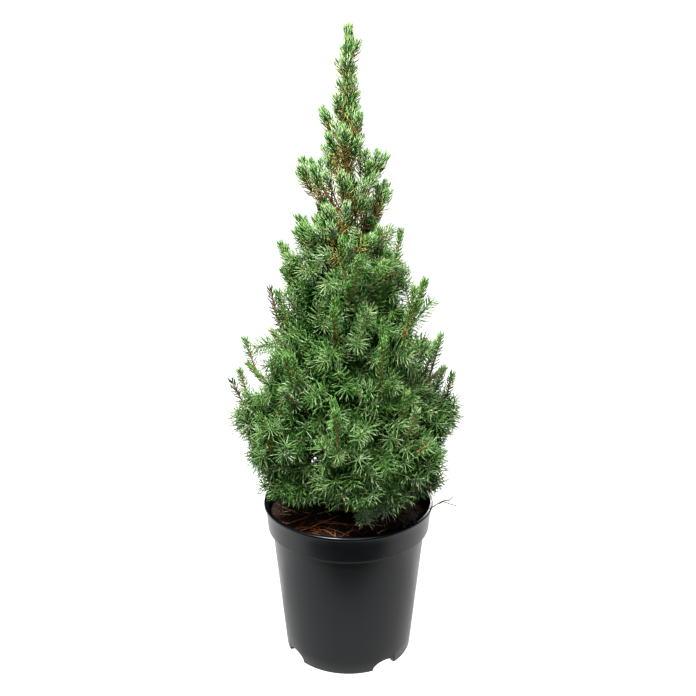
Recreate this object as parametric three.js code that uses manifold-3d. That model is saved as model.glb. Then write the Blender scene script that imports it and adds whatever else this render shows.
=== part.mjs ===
// A potted dwarf white spruce: a black nursery pot full of soil, a straight tapering trunk,
// boughs that rise in tiers, and dense masses of needle sprays that make a narrow cone.
// Millimetres, +Z up. The origin is on the pot's axis, at the level that the pot stands on.
import * as THREE from "three";
import { mergeVertices } from "three/addons/utils/BufferGeometryUtils.js";
import Module from "manifold-3d";

const wasm = await Module();
wasm.setup();

// Pot
const POT_HEIGHT = 178;
const RIM_RADIUS = 95;
const FOOT_RADIUS = 72;
const WALL_TOP_RADIUS = 86;
const COLLAR_HEIGHT = 29;
const COLLAR_FOOT_RADIUS = 91;
const COLLAR_TOP_RADIUS = 93;
const COLLAR_STEP = 4;
const LIP_HEIGHT = 4;
const LIP_ROUND = 1.2;
const POT_WALL = 1.8;
const BASE_RECESS = 4;
const BASE_THICKNESS = 2;
const FOOT_RING_WIDTH = 6;
const FOOT_BEVEL_WIDTH = 0.5;
const FOOT_BEVEL_HEIGHT = 1;
const POT_SIDES = 28;

// Drain notches in the foot of the pot
const NOTCH_COUNT = 4;
const NOTCH_WIDTH = 30;
const NOTCH_HEIGHT = 9;
const NOTCH_DEPTH = 14;
const NOTCH_FIRST_AZIMUTH = -56;
const NOTCH_OVERCUT = 1;
const NOTCH_ARC_STEPS = 6;

// Soil
const SOIL_HEIGHT = 167;
const SOIL_EDGE_DROP = 5;
const SOIL_LUMP = 1.6;
const SOIL_SEAT_RADIUS = 18;
const SOIL_SIDES = 24;
const SOIL_RING_SHARES = [0.93, 0.78, 0.6, 0.4];
const SOIL_SEED = 7;

// Trunk, with heights measured up from the soil
const TRUNK_HEIGHT = 408;
const TRUNK_FOOT_RADIUS = 8.5;
const TRUNK_TOP_RADIUS = 2.2;
const FLARE_RADIUS = 5;
const FLARE_HEIGHT = 12;
const TRUNK_SWAY = 2;
const TRUNK_SIDES = 9;
const TRUNK_STEPS = 12;

// Outline of the foliage
const TREE_HEIGHT = 515;
const WIDEST_HEIGHT = 113;
const WIDEST_RADIUS = 126;
const UNDERSIDE_ROUND = 193;
const TOP_RADIUS = 9;
const FULLER_AZIMUTH = 180;
const FULLER_RANGE = 60;
const FULLNESS = 0.13;

// Boughs. A bough's axis is a bend from its root to its tip, and the first share of it is a bare limb.
const LIMB_SHARE = 0.26;
const LIMB_ROOT_RADIUS = 2.7;
const LIMB_TIP_RADIUS = 1.9;
const LIMB_SIDES = 5;
const LIMB_STEPS = 3;
const AXIS_SEGMENTS = 10;
const AXIS_SEED_STEP = 1000;
const BEND_REACH = 0.55;
const BEND_LIFT = 0.36;
const AZIMUTH_JITTER = 6;
const HEIGHT_JITTER = 7;
const REACH_JITTER = 0.05;
const STEM_SIDES = 3;
const STEM_STEPS = 2;
const STEM_OVERLAP = 0.08;

// Needles of a spray, drawn out of its core less far where there is no room
const NEEDLE_LEAN = 38;
const NEEDLE_FIRST = 1.35;
const NEEDLE_LAST = 0.8;
const NEEDLE_JITTER = 0.15;
const NEEDLE_STAND = 0.2;
const NEEDLE_DRAWS = [1, 0.75, 0.5, 0.25];
const CORE_TAPER = 0.6;
const CORE_TWIST = 31;
const CORE_LAST_RING = 0.5;
const CORE_TEST_SHARES = [0, 0.2, 0.4, 0.6, 0.8];

// Brush of needles along a bough: sizes at the widest bough and at the trunk's top
const BRUSH_CORE = { widest: 10.5, top: 1.2 };
const BRUSH_NEEDLE = { widest: 25, top: 13 };
const BRUSH_SIDES = 4;
const BRUSH_RINGS = 6;
const BRUSH_BARE = 0.04;
const BRUSH_STARTS = [0.16, 0.22, 0.29, 0.36, 0.44, 0.52];

// Sprays that branch from a bough, turned on round it by the golden angle
const SPRAY_LENGTH = { widest: 52, top: 24 };
const SPRAY_CORE = 2.2;
const SPRAY_NEEDLE = 20;
const SPRAY_SIDES = 3;
const SPRAY_RINGS = 4;
const SPRAY_BARE = 0.3;
const SPRAY_LAST = 0.84;
const SPRAY_ANGLE = 52;
const SPRAY_LIFT = 0.22;
const SPRAY_SCALES = [1, 0.86, 0.72, 0.58, 0.44];
const LENGTH_JITTER = 0.15;
const GOLDEN_ANGLE = 137.5;
const SPRAY_SEGMENTS = 6;
const TIER_SEED_STEP = 100;
const MASS_SEED_STEP = 23;

// Leader: the brush that carries the trunk's line on to the top
const LEADER_RINGS = 8;
const LEADER_SPRAYS = 3;
const LEADER_START = 0.02;
const LEADER_SEED = 999;

// Clearances
const GAP = 0.3;
const SLIVER = 0.03;
const SPACE_MARGIN = 1.2;
const SPRAY_MARGIN = 0.4;
const FLOOR_MARGIN = 2;
const MERGE_TOLERANCE = 1e-4;
const UPRIGHT_LIMIT = 0.95;

// Tiers from the soil upwards: number of boughs, height of their tips above the soil, azimuth of the
// first, rise of the line from root to tip, step up and down between neighbouring roots, whether a
// separate limb carries each mass, and the number of sprays that branch from each
const TIERS = [
  { count: 7, tipHeight: 60, azimuth: 276, rise: 15, stagger: 0, limb: false, sprays: 2 },
  { count: 8, tipHeight: 113, azimuth: 0, rise: 26, stagger: 8, limb: true, sprays: 3 },
  { count: 6, tipHeight: 173, azimuth: -8, rise: 37, stagger: 5, limb: true, sprays: 3 },
  { count: 6, tipHeight: 233, azimuth: 16, rise: 45, stagger: 5, limb: false, sprays: 3 },
  { count: 4, tipHeight: 291, azimuth: -5, rise: 51, stagger: 4, limb: false, sprays: 4 },
  { count: 4, tipHeight: 341, azimuth: 40, rise: 56, stagger: 4, limb: false, sprays: 3 },
  { count: 4, tipHeight: 388, azimuth: -10, rise: 60, stagger: 3, limb: false, sprays: 2 },
  { count: 3, tipHeight: 435, azimuth: 180, rise: 63, stagger: 2, limb: false, sprays: 1 },
];

const { clamp, lerp, degToRad } = THREE.MathUtils;
const UP = new THREE.Vector3(0, 0, 1);

// A repeatable stream of numbers from 0 to 1
function seededRandom(seed) {
  let state = seed >>> 0;
  return () => {
    state = (state + 0x6d2b79f5) >>> 0;
    let mixed = Math.imul(state ^ (state >>> 15), state | 1);
    mixed = (mixed + Math.imul(mixed ^ (mixed >>> 7), mixed | 61)) ^ mixed;
    return ((mixed ^ (mixed >>> 14)) >>> 0) / 4294967296;
  };
}

function spread(random, width) {
  return (random() * 2 - 1) * width;
}

function polar(radius, azimuth, height) {
  return new THREE.Vector3(radius * Math.cos(azimuth), radius * Math.sin(azimuth), height);
}

// Solids from closed geometry, and back
function toSolid(geometry) {
  geometry.deleteAttribute("normal");
  geometry.deleteAttribute("uv");
  const merged = mergeVertices(geometry, MERGE_TOLERANCE);
  const vertProperties = new Float32Array(merged.attributes.position.array);
  const triVerts = new Uint32Array(merged.index.array);
  return new wasm.Manifold(new wasm.Mesh({ numProp: 3, vertProperties, triVerts }));
}

function toGeometry(solid) {
  const { vertProperties, triVerts } = solid.getMesh();
  const geometry = new THREE.BufferGeometry();
  geometry.setAttribute("position", new THREE.BufferAttribute(new Float32Array(vertProperties), 3));
  geometry.setIndex(new THREE.BufferAttribute(new Uint32Array(triVerts), 1));
  geometry.computeVertexNormals();
  return geometry;
}

// The outer skin of the largest body: loose scraps, sealed hollows and hair-thin slivers are dropped
function largestBody(solid) {
  const bodies = solid.simplify(SLIVER).decompose();
  return bodies.reduce((best, body) => (body.volume() > best.volume() ? body : best));
}

// Two directions across a given one, so that across, along and beside are right-handed
function crossFrame(along) {
  const reference = Math.abs(along.z) > UPRIGHT_LIMIT ? new THREE.Vector3(1, 0, 0) : UP;
  const across = new THREE.Vector3().crossVectors(along, reference).normalize();
  const beside = new THREE.Vector3().crossVectors(across, along);
  return { across, beside };
}

// A closed tube with a changing radius along the stretch of a curve from start to end
function taperedTube(curve, start, end, radiusAt, sides, steps) {
  const geometry = new THREE.CylinderGeometry(1, 1, 1, sides, steps);
  const position = geometry.attributes.position;
  for (let i = 0; i < position.count; i += 1) {
    const share = position.getY(i) + 0.5;
    const t = lerp(start, end, share);
    const { across, beside } = crossFrame(curve.getTangent(t));
    const point = curve.getPoint(t);
    const radius = radiusAt(share);
    point.addScaledVector(across, position.getX(i) * radius);
    point.addScaledVector(beside, position.getZ(i) * radius);
    position.setXYZ(i, point.x, point.y, point.z);
  }
  return geometry;
}

// Outline of the foliage: a cone above the widest height, rounded in below it
function outlineAt(height) {
  if (height > WIDEST_HEIGHT) {
    const cone = (WIDEST_RADIUS * (TREE_HEIGHT - height)) / (TREE_HEIGHT - WIDEST_HEIGHT);
    return Math.max(TOP_RADIUS, cone);
  }
  return WIDEST_RADIUS * Math.sqrt(1 - ((WIDEST_HEIGHT - height) / UNDERSIDE_ROUND) ** 2);
}

// Reach of the tips, a little further on the plant's fuller side above the widest height
function reachAt(height, azimuth) {
  const above = clamp((height - WIDEST_HEIGHT) / FULLER_RANGE, 0, 1);
  const side = Math.cos((azimuth - degToRad(FULLER_AZIMUTH)) / 2) ** 2;
  return outlineAt(height) * (1 + FULLNESS * above * side);
}

// Lowest height at which a needle clears the soil or the rim of the pot
function floorAt(radius) {
  const overRim = radius > COLLAR_FOOT_RADIUS - 2 * POT_WALL;
  return (overRim ? POT_HEIGHT - SOIL_HEIGHT : 0) + FLOOR_MARGIN;
}

// Pot: a tapering wall, a stepped collar with a rounded lip, and a base raised inside its foot ring
function potProfile() {
  const collarFoot = POT_HEIGHT - COLLAR_HEIGHT;
  const stepFoot = collarFoot - COLLAR_STEP;
  const lipFoot = POT_HEIGHT - LIP_HEIGHT;
  const floorTop = BASE_RECESS + BASE_THICKNESS;
  const inner = RIM_RADIUS - 2 * POT_WALL;
  const points = [
    [0, BASE_RECESS],
    [FOOT_RADIUS - FOOT_RING_WIDTH, BASE_RECESS],
    [FOOT_RADIUS - FOOT_RING_WIDTH, 0],
    [FOOT_RADIUS - FOOT_BEVEL_WIDTH, 0],
    [FOOT_RADIUS, FOOT_BEVEL_HEIGHT],
    [WALL_TOP_RADIUS, stepFoot],
    [COLLAR_FOOT_RADIUS, collarFoot],
    [COLLAR_TOP_RADIUS, lipFoot],
    [RIM_RADIUS, lipFoot + LIP_ROUND],
    [RIM_RADIUS, POT_HEIGHT - LIP_ROUND],
    [RIM_RADIUS - LIP_ROUND, POT_HEIGHT],
    [inner, POT_HEIGHT],
    [COLLAR_TOP_RADIUS - POT_WALL, lipFoot],
    [COLLAR_FOOT_RADIUS - POT_WALL, collarFoot],
    [WALL_TOP_RADIUS - POT_WALL, stepFoot],
    [innerWallAt(floorTop), floorTop],
    [0, floorTop],
  ];
  return points.map(([radius, height]) => new THREE.Vector2(radius, height));
}

// Inner radius of the tapering wall, below the step
function innerWallAt(height) {
  const stepFoot = POT_HEIGHT - COLLAR_HEIGHT - COLLAR_STEP;
  return lerp(FOOT_RADIUS, WALL_TOP_RADIUS, height / stepFoot) - POT_WALL;
}

// Turns a lathe about the Y axis into an upright piece
function uprightLathe(points, sides) {
  return new THREE.LatheGeometry(points, sides).rotateX(Math.PI / 2);
}

// One arched notch, cut through the foot ring and the edge of the base
function notchCutter(azimuth) {
  const arch = new THREE.Shape();
  arch.moveTo(-NOTCH_WIDTH / 2, -NOTCH_OVERCUT);
  arch.lineTo(NOTCH_WIDTH / 2, -NOTCH_OVERCUT);
  arch.lineTo(NOTCH_WIDTH / 2, 0);
  arch.absellipse(0, 0, NOTCH_WIDTH / 2, NOTCH_HEIGHT, 0, Math.PI, false);
  const options = { depth: NOTCH_DEPTH, bevelEnabled: false, curveSegments: NOTCH_ARC_STEPS };
  const block = new THREE.ExtrudeGeometry(arch, options);
  block.rotateX(Math.PI / 2);
  block.translate(0, NOTCH_DEPTH + FOOT_RADIUS - FOOT_RING_WIDTH - NOTCH_OVERCUT, 0);
  block.rotateZ(azimuth - Math.PI / 2);
  return toSolid(block);
}

function potGeometry() {
  let pot = toSolid(uprightLathe(potProfile(), POT_SIDES));
  for (let i = 0; i < NOTCH_COUNT; i += 1) {
    const azimuth = degToRad(NOTCH_FIRST_AZIMUTH + (i * 360) / NOTCH_COUNT);
    pot = pot.subtract(notchCutter(azimuth));
  }
  return toGeometry(pot);
}

// Soil: fills the pot, with a flat seat for the trunk and a lumpy surface that falls to the wall
function soilGeometry() {
  const bottom = BASE_RECESS + BASE_THICKNESS + GAP;
  const edge = SOIL_HEIGHT - SOIL_EDGE_DROP;
  const stepFoot = POT_HEIGHT - COLLAR_HEIGHT - COLLAR_STEP;
  const edgeRadius = COLLAR_FOOT_RADIUS - POT_WALL - GAP;
  const surface = SOIL_RING_SHARES.map((share) => [
    edgeRadius * share,
    lerp(SOIL_HEIGHT, edge, share ** 2),
  ]);
  const side = [
    [0, bottom],
    [innerWallAt(bottom) - 2 * GAP, bottom],
    [innerWallAt(stepFoot) - 2 * GAP, stepFoot],
    [edgeRadius - GAP, stepFoot + COLLAR_STEP + GAP],
    [edgeRadius, edge],
  ];
  const seat = [
    [SOIL_SEAT_RADIUS, SOIL_HEIGHT],
    [0, SOIL_HEIGHT],
  ];
  const points = [...side, ...surface, ...seat].map(([radius, height]) => new THREE.Vector2(radius, height));
  const random = seededRandom(SOIL_SEED);
  const geometry = new THREE.LatheGeometry(points, SOIL_SIDES);
  const position = geometry.attributes.position;
  for (let column = 0; column < SOIL_SIDES; column += 1) {
    for (let ring = side.length; ring < side.length + surface.length; ring += 1) {
      const index = column * points.length + ring;
      const lump = spread(random, SOIL_LUMP);
      position.setY(index, position.getY(index) + lump);
      if (column === 0) {
        const seam = SOIL_SIDES * points.length + ring;
        position.setY(seam, position.getY(seam) + lump);
      }
    }
  }
  return toGeometry(toSolid(geometry.rotateX(Math.PI / 2)));
}

// Trunk: nearly straight, with a flared flat-cut foot
class TrunkLine extends THREE.Curve {
  getPoint(t) {
    const height = t * TRUNK_HEIGHT;
    const turn = (2 * Math.PI * height) / TREE_HEIGHT;
    return new THREE.Vector3(TRUNK_SWAY * Math.sin(turn), TRUNK_SWAY * Math.sin(turn / 2), height);
  }

  getTangent() {
    return UP.clone();
  }
}
const trunkLine = new TrunkLine();

function trunkRadiusAt(share) {
  const taper = lerp(TRUNK_FOOT_RADIUS, TRUNK_TOP_RADIUS, share);
  return taper + FLARE_RADIUS * Math.exp((-share * TRUNK_HEIGHT) / FLARE_HEIGHT);
}

function trunkTube(clearance) {
  const radiusAt = (share) => trunkRadiusAt(share) + clearance;
  return taperedTube(trunkLine, 0, 1, radiusAt, TRUNK_SIDES, TRUNK_STEPS);
}
const trunkClear = toSolid(trunkTube(GAP));

// Axis of one bough, from the trunk's centre to the last needle at its tip
function boughAxis(tier, tierNumber, index) {
  const random = seededRandom(AXIS_SEED_STEP * tierNumber + index);
  const step = 360 / tier.count;
  const azimuth = degToRad(tier.azimuth + index * step + spread(random, AZIMUTH_JITTER));
  const tipHeight = tier.tipHeight + spread(random, HEIGHT_JITTER);
  const reach = reachAt(tipHeight, azimuth) * (1 - random() * REACH_JITTER);
  const stagger = index % 2 === 0 ? tier.stagger : -tier.stagger;
  const rootHeight = tipHeight - reach * Math.tan(degToRad(tier.rise)) + stagger;
  const root = trunkLine.getPoint(rootHeight / TRUNK_HEIGHT);
  const bend = polar(reach * BEND_REACH, azimuth, lerp(rootHeight, tipHeight, BEND_LIFT));
  return new THREE.QuadraticBezierCurve3(root, bend, polar(reach, azimuth, tipHeight));
}

// A size that grows with a bough's share of the widest reach
function sized(size, share) {
  return lerp(size.top, size.widest, share);
}

function makeBough(name, axis, seed, { limb, sprays, rings, starts, share }) {
  const start = limb ? LIMB_SHARE + GAP / axis.getLength() : 0;
  return {
    name,
    axis,
    seed,
    limb,
    start,
    sprayCount: sprays,
    sprayLength: sized(SPRAY_LENGTH, share),
    brushStarts: starts.filter((from) => from > start),
    brush: {
      core: sized(BRUSH_CORE, share),
      needle: sized(BRUSH_NEEDLE, share),
      sides: BRUSH_SIDES,
      rings,
      bare: BRUSH_BARE,
    },
    points: axis.getPoints(AXIS_SEGMENTS),
  };
}

// Boughs of all tiers, and the leader above the trunk's tip
function growBoughs() {
  const boughs = [];
  TIERS.forEach((tier, tierIndex) => {
    const tierNumber = tierIndex + 1;
    const share = outlineAt(tier.tipHeight) / WIDEST_RADIUS;
    const habit = { limb: tier.limb, sprays: tier.sprays, rings: BRUSH_RINGS, starts: BRUSH_STARTS, share };
    for (let index = 0; index < tier.count; index += 1) {
      const axis = boughAxis(tier, tierNumber, index);
      const seed = TIER_SEED_STEP * tierNumber + MASS_SEED_STEP * (index + 1);
      boughs.push(makeBough(`foliage_${tierNumber}_${index + 1}`, axis, seed, habit));
    }
  });
  const foot = trunkLine.getPoint(1);
  foot.z += GAP;
  const leaderAxis = new THREE.LineCurve3(foot, new THREE.Vector3(0, 0, TREE_HEIGHT));
  const share = TOP_RADIUS / WIDEST_RADIUS;
  const habit = { limb: false, sprays: LEADER_SPRAYS, rings: LEADER_RINGS, starts: [LEADER_START], share };
  boughs.push(makeBough("leader", leaderAxis, LEADER_SEED, habit));
  return boughs;
}

function distanceToLine(point, line) {
  const segment = new THREE.Line3();
  const nearest = new THREE.Vector3();
  let best = Infinity;
  for (let i = 0; i + 1 < line.length; i += 1) {
    segment.set(line[i], line[i + 1]);
    segment.closestPointToPoint(point, true, nearest);
    best = Math.min(best, nearest.distanceTo(point));
  }
  return best;
}

// Whether a point lies nearer to one line than to the others, by a margin
function nearestTo(point, own, all, margin) {
  const limit = distanceToLine(point, own.points) + margin;
  return all.every((other) => other === own || distanceToLine(point, other.points) > limit);
}

// A mass keeps to the points that are nearer to its own bough than to any other, inside the outline,
// clear of the trunk and above the soil and the rim
function inOwnSpace(point, bough, boughs) {
  const radius = Math.hypot(point.x, point.y);
  const reach = reachAt(point.z, Math.atan2(point.y, point.x));
  if (point.z > TREE_HEIGHT || radius > reach || point.z < floorAt(radius)) {
    return false;
  }
  const trunkShare = point.z / TRUNK_HEIGHT;
  if (trunkShare < 1) {
    const centre = trunkLine.getPoint(trunkShare);
    const clear = trunkRadiusAt(trunkShare) + SPACE_MARGIN;
    if (Math.hypot(point.x - centre.x, point.y - centre.y) < clear) {
      return false;
    }
  }
  return nearestTo(point, bough, boughs, SPACE_MARGIN);
}

// The slim closed core of a spray: a spindle bent along a line, with its rings as points of radius and share
function spindleRings(shape, lastShare) {
  const rings = [new THREE.Vector2(0, 0)];
  for (let ring = 0; ring < shape.rings; ring += 1) {
    const share = lerp(shape.bare, lastShare, ring / (shape.rings - 1));
    rings.push(new THREE.Vector2(shape.core * (1 - CORE_TAPER * share), share));
  }
  rings.push(new THREE.Vector2(0, 1));
  return rings;
}

function spindleGeometry(line, rings, sides) {
  const geometry = new THREE.LatheGeometry(rings, sides);
  const position = geometry.attributes.position;
  const centre = new THREE.Vector2();
  for (let i = 0; i < position.count; i += 1) {
    const share = position.getY(i);
    const turn = degToRad(CORE_TWIST) * (i % rings.length);
    const { across, beside } = crossFrame(line.getTangent(share));
    const offset = new THREE.Vector2(position.getX(i), position.getZ(i)).rotateAround(centre, turn);
    const point = line.getPoint(share).addScaledVector(across, offset.x).addScaledVector(beside, offset.y);
    position.setXYZ(i, point.x, point.y, point.z);
  }
  return geometry;
}

// Tip of the needle that stands on a facet, leaning forward along the line, or nothing where it has no room
// or would lie too flat on the facet
function needleTip(corners, line, share, size, keeps, random) {
  const lean = degToRad(NEEDLE_LEAN);
  const facet = new THREE.Triangle(...corners);
  const root = facet.getMidpoint(new THREE.Vector3());
  const along = line.getTangent(share);
  const radial = root.clone().sub(line.getPoint(share)).projectOnPlane(along).normalize();
  const direction = along.multiplyScalar(Math.cos(lean)).addScaledVector(radial, Math.sin(lean));
  const length = size * lerp(NEEDLE_FIRST, NEEDLE_LAST, share) * (1 + spread(random, NEEDLE_JITTER));
  if (direction.dot(facet.getNormal(new THREE.Vector3())) < NEEDLE_STAND) {
    return undefined;
  }
  const tips = NEEDLE_DRAWS.map((draw) => root.clone().addScaledVector(direction, length * draw));
  return tips.find(keeps);
}

// A spray: a slim core with each facet of its sides drawn out into a needle
function sprayGeometry(line, shape, keeps, random) {
  const forward = shape.needle * Math.cos(degToRad(NEEDLE_LEAN));
  const rings = spindleRings(shape, Math.max(1 - forward / line.getLength(), CORE_LAST_RING));
  const spindle = spindleGeometry(line, rings, shape.sides);
  const position = spindle.attributes.position;
  const index = spindle.index.array;
  const vertices = [];
  for (let i = 0; i < index.length; i += 3) {
    const facet = [index[i], index[i + 1], index[i + 2]];
    const corners = facet.map((vertex) => new THREE.Vector3().fromBufferAttribute(position, vertex));
    const ringNumbers = facet.map((vertex) => vertex % rings.length);
    const onSide = ringNumbers.every((ring) => ring > 0 && ring < rings.length - 1);
    const share = ringNumbers.reduce((sum, ring) => sum + rings[ring].y, 0) / 3;
    const tip = onSide ? needleTip(corners, line, share, shape.needle, keeps, random) : undefined;
    if (tip) {
      corners.forEach((corner, edge) => vertices.push(corner, corners[(edge + 1) % 3], tip));
    } else {
      vertices.push(...corners);
    }
  }
  return new THREE.BufferGeometry().setFromPoints(vertices);
}

// Direction of a side spray: out from the stem at a steady angle, turned on round it, and lifted
function sprayDirection(along, roll) {
  const { across, beside } = crossFrame(along);
  const angle = degToRad(SPRAY_ANGLE);
  return new THREE.Vector3()
    .addScaledVector(along, Math.cos(angle))
    .addScaledVector(across, Math.sin(angle) * Math.cos(roll))
    .addScaledVector(beside, Math.sin(angle) * Math.sin(roll))
    .addScaledVector(UP, SPRAY_LIFT)
    .normalize();
}

// A stretch of a bough's axis as a line of its own
function stretchOf(axis, start, end) {
  const points = [0, 1 / 3, 2 / 3, 1].map((share) => axis.getPoint(lerp(start, end, share)));
  return new THREE.CatmullRomCurve3(points);
}

// Whether a core round a line keeps to its space, past the bare stretch at its root
function coreKeeps(line, radius, bare, keeps) {
  const shares = CORE_TEST_SHARES.map((share) => bare + share * (1 - bare));
  return shares.every((share) => {
    const { across, beside } = crossFrame(line.getTangent(share));
    const centre = line.getPoint(share);
    const around = [across, beside, across.clone().negate(), beside.clone().negate()];
    return around.every((side) => keeps(centre.clone().addScaledVector(side, radius)));
  });
}

// Sprays of a mass: the brush along its bough, then the side sprays, where there is room for them
function growSprays(bough, keeps, random) {
  const { axis, brush } = bough;
  const brushes = bough.brushStarts.map((from) => ({ ...brush, from, line: stretchOf(axis, from, 1) }));
  const fitting = brushes.find(({ line }) => coreKeeps(line, brush.core, BRUSH_BARE, keeps));
  const sprays = [fitting ?? brushes[brushes.length - 1]];
  const rollStart = random() * 2 * Math.PI;
  for (let i = 0; i < bough.sprayCount; i += 1) {
    const t = lerp(sprays[0].from, SPRAY_LAST, (i + 0.5) / bough.sprayCount);
    const direction = sprayDirection(axis.getTangent(t), rollStart + degToRad(GOLDEN_ANGLE) * i);
    const length = bough.sprayLength * (1 + spread(random, LENGTH_JITTER));
    const base = axis.getPoint(t);
    const lines = SPRAY_SCALES.map(
      (scale) => new THREE.LineCurve3(base, base.clone().addScaledVector(direction, length * scale))
    );
    const line = lines.find((candidate) => coreKeeps(candidate, SPRAY_CORE, SPRAY_BARE, keeps));
    if (line) {
      const shape = { core: SPRAY_CORE, needle: SPRAY_NEEDLE, sides: SPRAY_SIDES, rings: SPRAY_RINGS };
      sprays.push({ ...shape, bare: SPRAY_BARE, line });
    }
  }
  return sprays.map((spray) => ({ ...spray, points: spray.line.getPoints(SPRAY_SEGMENTS) }));
}

// A mass of foliage: a stem, the brush along it and the sprays round it, fused. Each needle keeps to the
// space that is nearer to its own spray than to the others.
function foliageGeometry(bough, boughs) {
  const random = seededRandom(bough.seed);
  const inMass = (point) => inOwnSpace(point, bough, boughs);
  const sprays = growSprays(bough, inMass, random);
  const stemEnd = sprays[0].from + STEM_OVERLAP;
  const stem = taperedTube(bough.axis, bough.start, stemEnd, () => LIMB_TIP_RADIUS, STEM_SIDES, STEM_STEPS);
  const parts = [toSolid(stem)];
  for (const spray of sprays) {
    const keeps = (point) => inMass(point) && nearestTo(point, spray, sprays, SPRAY_MARGIN);
    parts.push(toSolid(sprayGeometry(spray.line, spray, keeps, random)));
  }
  return toGeometry(largestBody(wasm.Manifold.union(parts).subtract(trunkClear)));
}

function limbGeometry(bough) {
  const radiusAt = (share) => lerp(LIMB_ROOT_RADIUS, LIMB_TIP_RADIUS, share);
  const tube = taperedTube(bough.axis, 0, LIMB_SHARE, radiusAt, LIMB_SIDES, LIMB_STEPS);
  return toGeometry(largestBody(toSolid(tube).subtract(trunkClear)));
}

// Materials
const plastic = new THREE.MeshStandardMaterial({ color: 0x23272a, roughness: 0.45, metalness: 0 });
const peat = new THREE.MeshStandardMaterial({ color: 0x2b2019, roughness: 0.95, metalness: 0 });
const bark = new THREE.MeshStandardMaterial({ color: 0x7d5a40, roughness: 0.85, metalness: 0 });
const needles = new THREE.MeshStandardMaterial({ color: 0x587a48, roughness: 0.6, metalness: 0 });
needles.flatShading = true;

function named(name, geometry, material) {
  const mesh = new THREE.Mesh(geometry, material);
  mesh.name = name;
  return mesh;
}

const plant = new THREE.Group();
plant.add(named("pot", potGeometry(), plastic));
plant.add(named("soil", soilGeometry(), peat));

const tree = new THREE.Group();
tree.position.z = SOIL_HEIGHT + GAP;
tree.add(named("trunk", toGeometry(toSolid(trunkTube(0))), bark));
const boughs = growBoughs();
for (const bough of boughs) {
  if (bough.limb) {
    tree.add(named(bough.name.replace("foliage", "bough"), limbGeometry(bough), bark));
  }
  tree.add(named(bough.name, foliageGeometry(bough, boughs), needles));
}
plant.add(tree);

export default plant;
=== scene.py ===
from dataclasses import dataclass
from functools import cache
from math import atan2, ceil, cos, exp, hypot, pi, radians, sin, sqrt, tan, tau

import bpy
import numpy as np
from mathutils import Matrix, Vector, noise


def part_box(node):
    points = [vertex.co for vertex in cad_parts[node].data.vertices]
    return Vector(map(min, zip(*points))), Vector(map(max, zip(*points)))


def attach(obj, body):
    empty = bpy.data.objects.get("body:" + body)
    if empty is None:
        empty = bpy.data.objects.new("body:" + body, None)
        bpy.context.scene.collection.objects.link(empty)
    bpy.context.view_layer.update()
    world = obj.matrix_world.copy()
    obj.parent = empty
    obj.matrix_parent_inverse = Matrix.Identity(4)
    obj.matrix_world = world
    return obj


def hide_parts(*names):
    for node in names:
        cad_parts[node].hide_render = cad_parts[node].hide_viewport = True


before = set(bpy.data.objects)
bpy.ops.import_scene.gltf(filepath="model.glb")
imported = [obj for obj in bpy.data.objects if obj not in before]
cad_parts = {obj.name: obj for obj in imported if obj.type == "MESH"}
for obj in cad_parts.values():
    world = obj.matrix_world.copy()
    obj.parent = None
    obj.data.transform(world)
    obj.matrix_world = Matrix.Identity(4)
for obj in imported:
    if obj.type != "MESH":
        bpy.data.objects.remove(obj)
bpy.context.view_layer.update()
scene = bpy.context.scene

MM = 0.001

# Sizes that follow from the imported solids
POT_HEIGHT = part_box("pot")[1].z
RIM_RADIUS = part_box("pot")[1].x
TREE_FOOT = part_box("trunk")[0].z
TREE_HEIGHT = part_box("leader")[1].z - TREE_FOOT
TRUNK_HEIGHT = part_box("trunk")[1].z - TREE_FOOT
SOIL_GAP = 0.3 * MM
SOIL_TOP = TREE_FOOT - SOIL_GAP

# Pot
FOOT_RADIUS = 72 * MM
FOOT_RING_WIDTH = 6 * MM
FOOT_BEVEL = 0.6 * MM
BASE_RECESS = 4 * MM
WALL_TOP_RADIUS = 86 * MM
COLLAR_HEIGHT = 29 * MM
COLLAR_FOOT_RADIUS = 91 * MM
COLLAR_TOP_RADIUS = 93 * MM
COLLAR_STEP = 4 * MM
COLLAR_ROUND = 0.9 * MM
LIP_HEIGHT = 4 * MM
LIP_ROUND = 1.4 * MM
POT_WALL = 1.8 * MM
NOTCH_COUNT = 4
NOTCH_WIDTH = 30 * MM
NOTCH_HEIGHT = 9 * MM
NOTCH_BLEND = 16 * MM
NOTCH_STEP = tau / NOTCH_COUNT
NOTCH_FIRST_AZIMUTH = radians(-56)
NOTCH_COLUMNS = 16
BETWEEN_COLUMNS = 26
COLLAR_FOOT = POT_HEIGHT - COLLAR_HEIGHT
STEP_FOOT = COLLAR_FOOT - COLLAR_STEP
LIP_FOOT = POT_HEIGHT - LIP_HEIGHT
POT_FLOOR = NOTCH_HEIGHT + POT_WALL
WALL_ROWS = 12
COLLAR_SHARES = (0.1, 0.4, 0.7, 0.93)
LIP_STEP = 0.3 * MM
EDGE_MARGIN = 1 * MM
CREASE_ANGLE = radians(40)

# Rounds of the pot's edges: first and last angle in degrees, and steps
COLLAR_ARC = (-60, 0, 4)
LIP_FOOT_ARC = (-70, 0, 4)
LIP_TOP_ARC = (0, 90, 5)
LIP_INSIDE_ARC = (90, 180, 3)

# Soil
SOIL_EDGE_DROP = 5 * MM
SOIL_LUMPS = ((1.6 * MM, 55), (0.9 * MM, 140), (0.5 * MM, 330))
SOIL_RINGS = 46
SOIL_COLUMNS = 150
SOIL_RADIUS = COLLAR_FOOT_RADIUS - POT_WALL - SOIL_GAP
SEAT_RADIUS = 18 * MM
SEAT_FLAT = 0.6

# Trunk
TRUNK_FOOT_RADIUS = 8.5 * MM
TRUNK_TOP_RADIUS = 2.2 * MM
FLARE_RADIUS = 5 * MM
FLARE_HEIGHT = 12 * MM
TRUNK_SWAY = 2 * MM

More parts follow.
